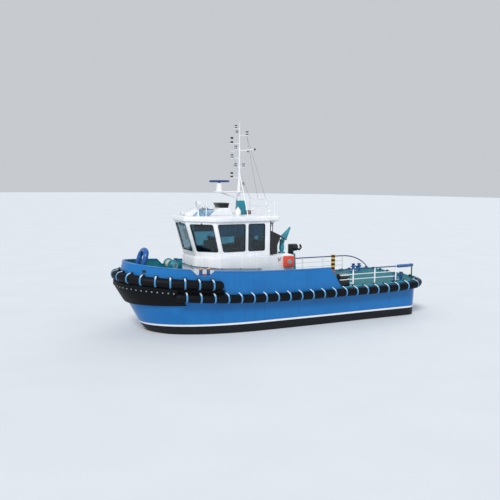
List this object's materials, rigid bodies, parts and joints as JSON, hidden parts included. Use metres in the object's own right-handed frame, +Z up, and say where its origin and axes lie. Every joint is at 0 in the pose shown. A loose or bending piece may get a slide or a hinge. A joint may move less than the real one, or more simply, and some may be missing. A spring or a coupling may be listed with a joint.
{
  "type": "small twin-screw harbour tug",
  "caption": "Harbour tug afloat: hull with skeg, bulwark, rubber fenders, raked wheelhouse, mast, towing hook, fire monitor, propellers and rudders.",
  "frame": {"origin": "amidships on the centreline, at the waterline on which the tug floats", "axes": "+X forward to the stem, +Y to port, +Z up"},
  "size_m": [16.6528, 5.85, 12.16],
  "materials": {
    "hull_paint": "gloss marine enamel, lightly weathered",
    "deck_paint": "satin deck paint",
    "gear_paint": "satin enamel",
    "white_paint": "gloss enamel",
    "blue_paint": "gloss enamel",
    "black_paint": "satin enamel",
    "orange_paint": "gloss enamel",
    "yellow_paint": "gloss enamel with black bands",
    "pale_paint": "satin enamel",
    "fender_rubber": "moulded, scuffed",
    "window_glass": "clear with a slight tint",
    "console_plastic": "fine grain",
    "seat_leather": "semi-matt",
    "bare_steel": "dull galvanised",
    "scanner_shell": "gloss",
    "propeller_bronze": "cast and polished"
  },
  "bodies": {
    "tug": {"hull": "hull_paint", "skeg": "hull_paint", "bulwark": "deck_paint", "bow_fender": "fender_rubber", "bow_push_block": "fender_rubber", "belt_fender": "fender_rubber", "deckhouse": "white_paint", "wheelhouse": "white_paint", "wheelhouse_roof": "white_paint", "window_front": "window_glass", "window_corner_port": "window_glass", "window_corner_stbd": "window_glass", "window_side_fore_port": "window_glass", "window_side_fore_stbd": "window_glass", "window_side_aft_port": "window_glass", "window_side_aft_stbd": "window_glass", "window_aft": "window_glass", "helm_console": "console_plastic", "helm_seat": "seat_leather", "bitts_fore_port": "blue_paint", "bitts_fore_stbd": "blue_paint", "bitts_aft_port": "blue_paint", "bitts_aft_stbd": "blue_paint", "bow_staple": "blue_paint", "windlass_frame": "gear_paint", "fore_hatch": "deck_paint", "side_rail_port": "blue_paint", "side_rail_stbd": "blue_paint", "trunk_handrail_port": "blue_paint", "trunk_handrail_stbd": "blue_paint", "side_box": "orange_paint", "deck_locker": "black_paint", "striped_post": "yellow_paint", "air_intake": "black_paint", "ladder": "bare_steel", "monitor_base": "gear_paint", "tow_post": "gear_paint", "mast_base": "white_paint", "skylight": "pale_paint", "mast_foot_box": "gear_paint", "battery_box": "black_paint", "mast": "white_paint", "radar_pedestal": "white_paint", "searchlight_stand": "white_paint", "roof_rail": "white_paint", "shaft_bracket_port": "bare_steel", "shaft_bracket_stbd": "bare_steel"},
    "propeller_port": {"propeller_port": "propeller_bronze"},
    "propeller_stbd": {"propeller_stbd": "propeller_bronze"},
    "rudder_port": {"rudder_port": "hull_paint"},
    "rudder_stbd": {"rudder_stbd": "hull_paint"},
    "radar_scanner": {"radar_scanner": "scanner_shell"},
    "wheelhouse_door": {"wheelhouse_door": "white_paint"},
    "fore_hatch_lid": {"fore_hatch_lid": "deck_paint"},
    "windlass_drum": {"windlass_drum": "gear_paint"},
    "tow_hook": {"tow_hook": "black_paint"},
    "monitor_body": {"monitor_body": "gear_paint"},
    "monitor_barrel": {"monitor_barrel": "gear_paint"},
    "searchlight": {"searchlight": "white_paint"}
  },
  "joints": [
    {"name": "propeller_port_spin", "type": "hinge", "parent": "tug", "child": "propeller_port", "pos_m": [-6.35, 1.25, -1.28], "axis": [1, 0, 0], "continuous": true},
    {"name": "propeller_stbd_spin", "type": "hinge", "parent": "tug", "child": "propeller_stbd", "pos_m": [-6.35, -1.25, -1.28], "axis": [1, 0, 0], "continuous": true},
    {"name": "rudder_port_turn", "type": "hinge", "parent": "tug", "child": "rudder_port", "pos_m": [-7.15, 1.25, -0.62], "axis": [0, 0, 1], "range_deg": [-35, 35]},
    {"name": "rudder_stbd_turn", "type": "hinge", "parent": "tug", "child": "rudder_stbd", "pos_m": [-7.15, -1.25, -0.62], "axis": [0, 0, 1], "range_deg": [-35, 35]},
    {"name": "radar_scanner_spin", "type": "hinge", "parent": "tug", "child": "radar_scanner", "pos_m": [2.85, 0, 7], "axis": [0, 0, 1], "continuous": true},
    {"name": "wheelhouse_door_swing", "type": "hinge", "parent": "tug", "child": "wheelhouse_door", "pos_m": [0.745, -0.96, 3.8], "axis": [0, 0, 1], "range_deg": [0, 110]},
    {"name": "fore_hatch_lid_swing", "type": "hinge", "parent": "tug", "child": "fore_hatch_lid", "pos_m": [6.7, 0, 2.445], "axis": [0, 1, 0], "range_deg": [0, 95]},
    {"name": "windlass_drum_spin", "type": "hinge", "parent": "tug", "child": "windlass_drum", "pos_m": [5.42, 0, 3.12], "axis": [0, 1, 0], "continuous": true},
    {"name": "tow_hook_swing", "type": "hinge", "parent": "tug", "child": "tow_hook", "pos_m": [-1.31, 0, 3.65], "axis": [0, 0, 1], "range_deg": [-80, 80]},
    {"name": "monitor_slew", "type": "hinge", "parent": "tug", "child": "monitor_body", "pos_m": [-0.23, 0.9, 3.7], "axis": [0, 0, 1], "range_deg": [-80, 80]},
    {"name": "monitor_elevation", "type": "hinge", "parent": "monitor_body", "child": "monitor_barrel", "pos_m": [-0.23, 0.9, 4.12], "axis": [0, 1, 0], "range_deg": [-45, 20]},
    {"name": "searchlight_pan", "type": "hinge", "parent": "tug", "child": "searchlight", "pos_m": [4.25, 0.62, 5.78], "axis": [0, 0, 1], "range_deg": [-170, 170]}
  ],
  "couplings": [
    {"joint": "rudder_stbd_turn", "follows": "rudder_port_turn", "ratio": 1}
  ]
}
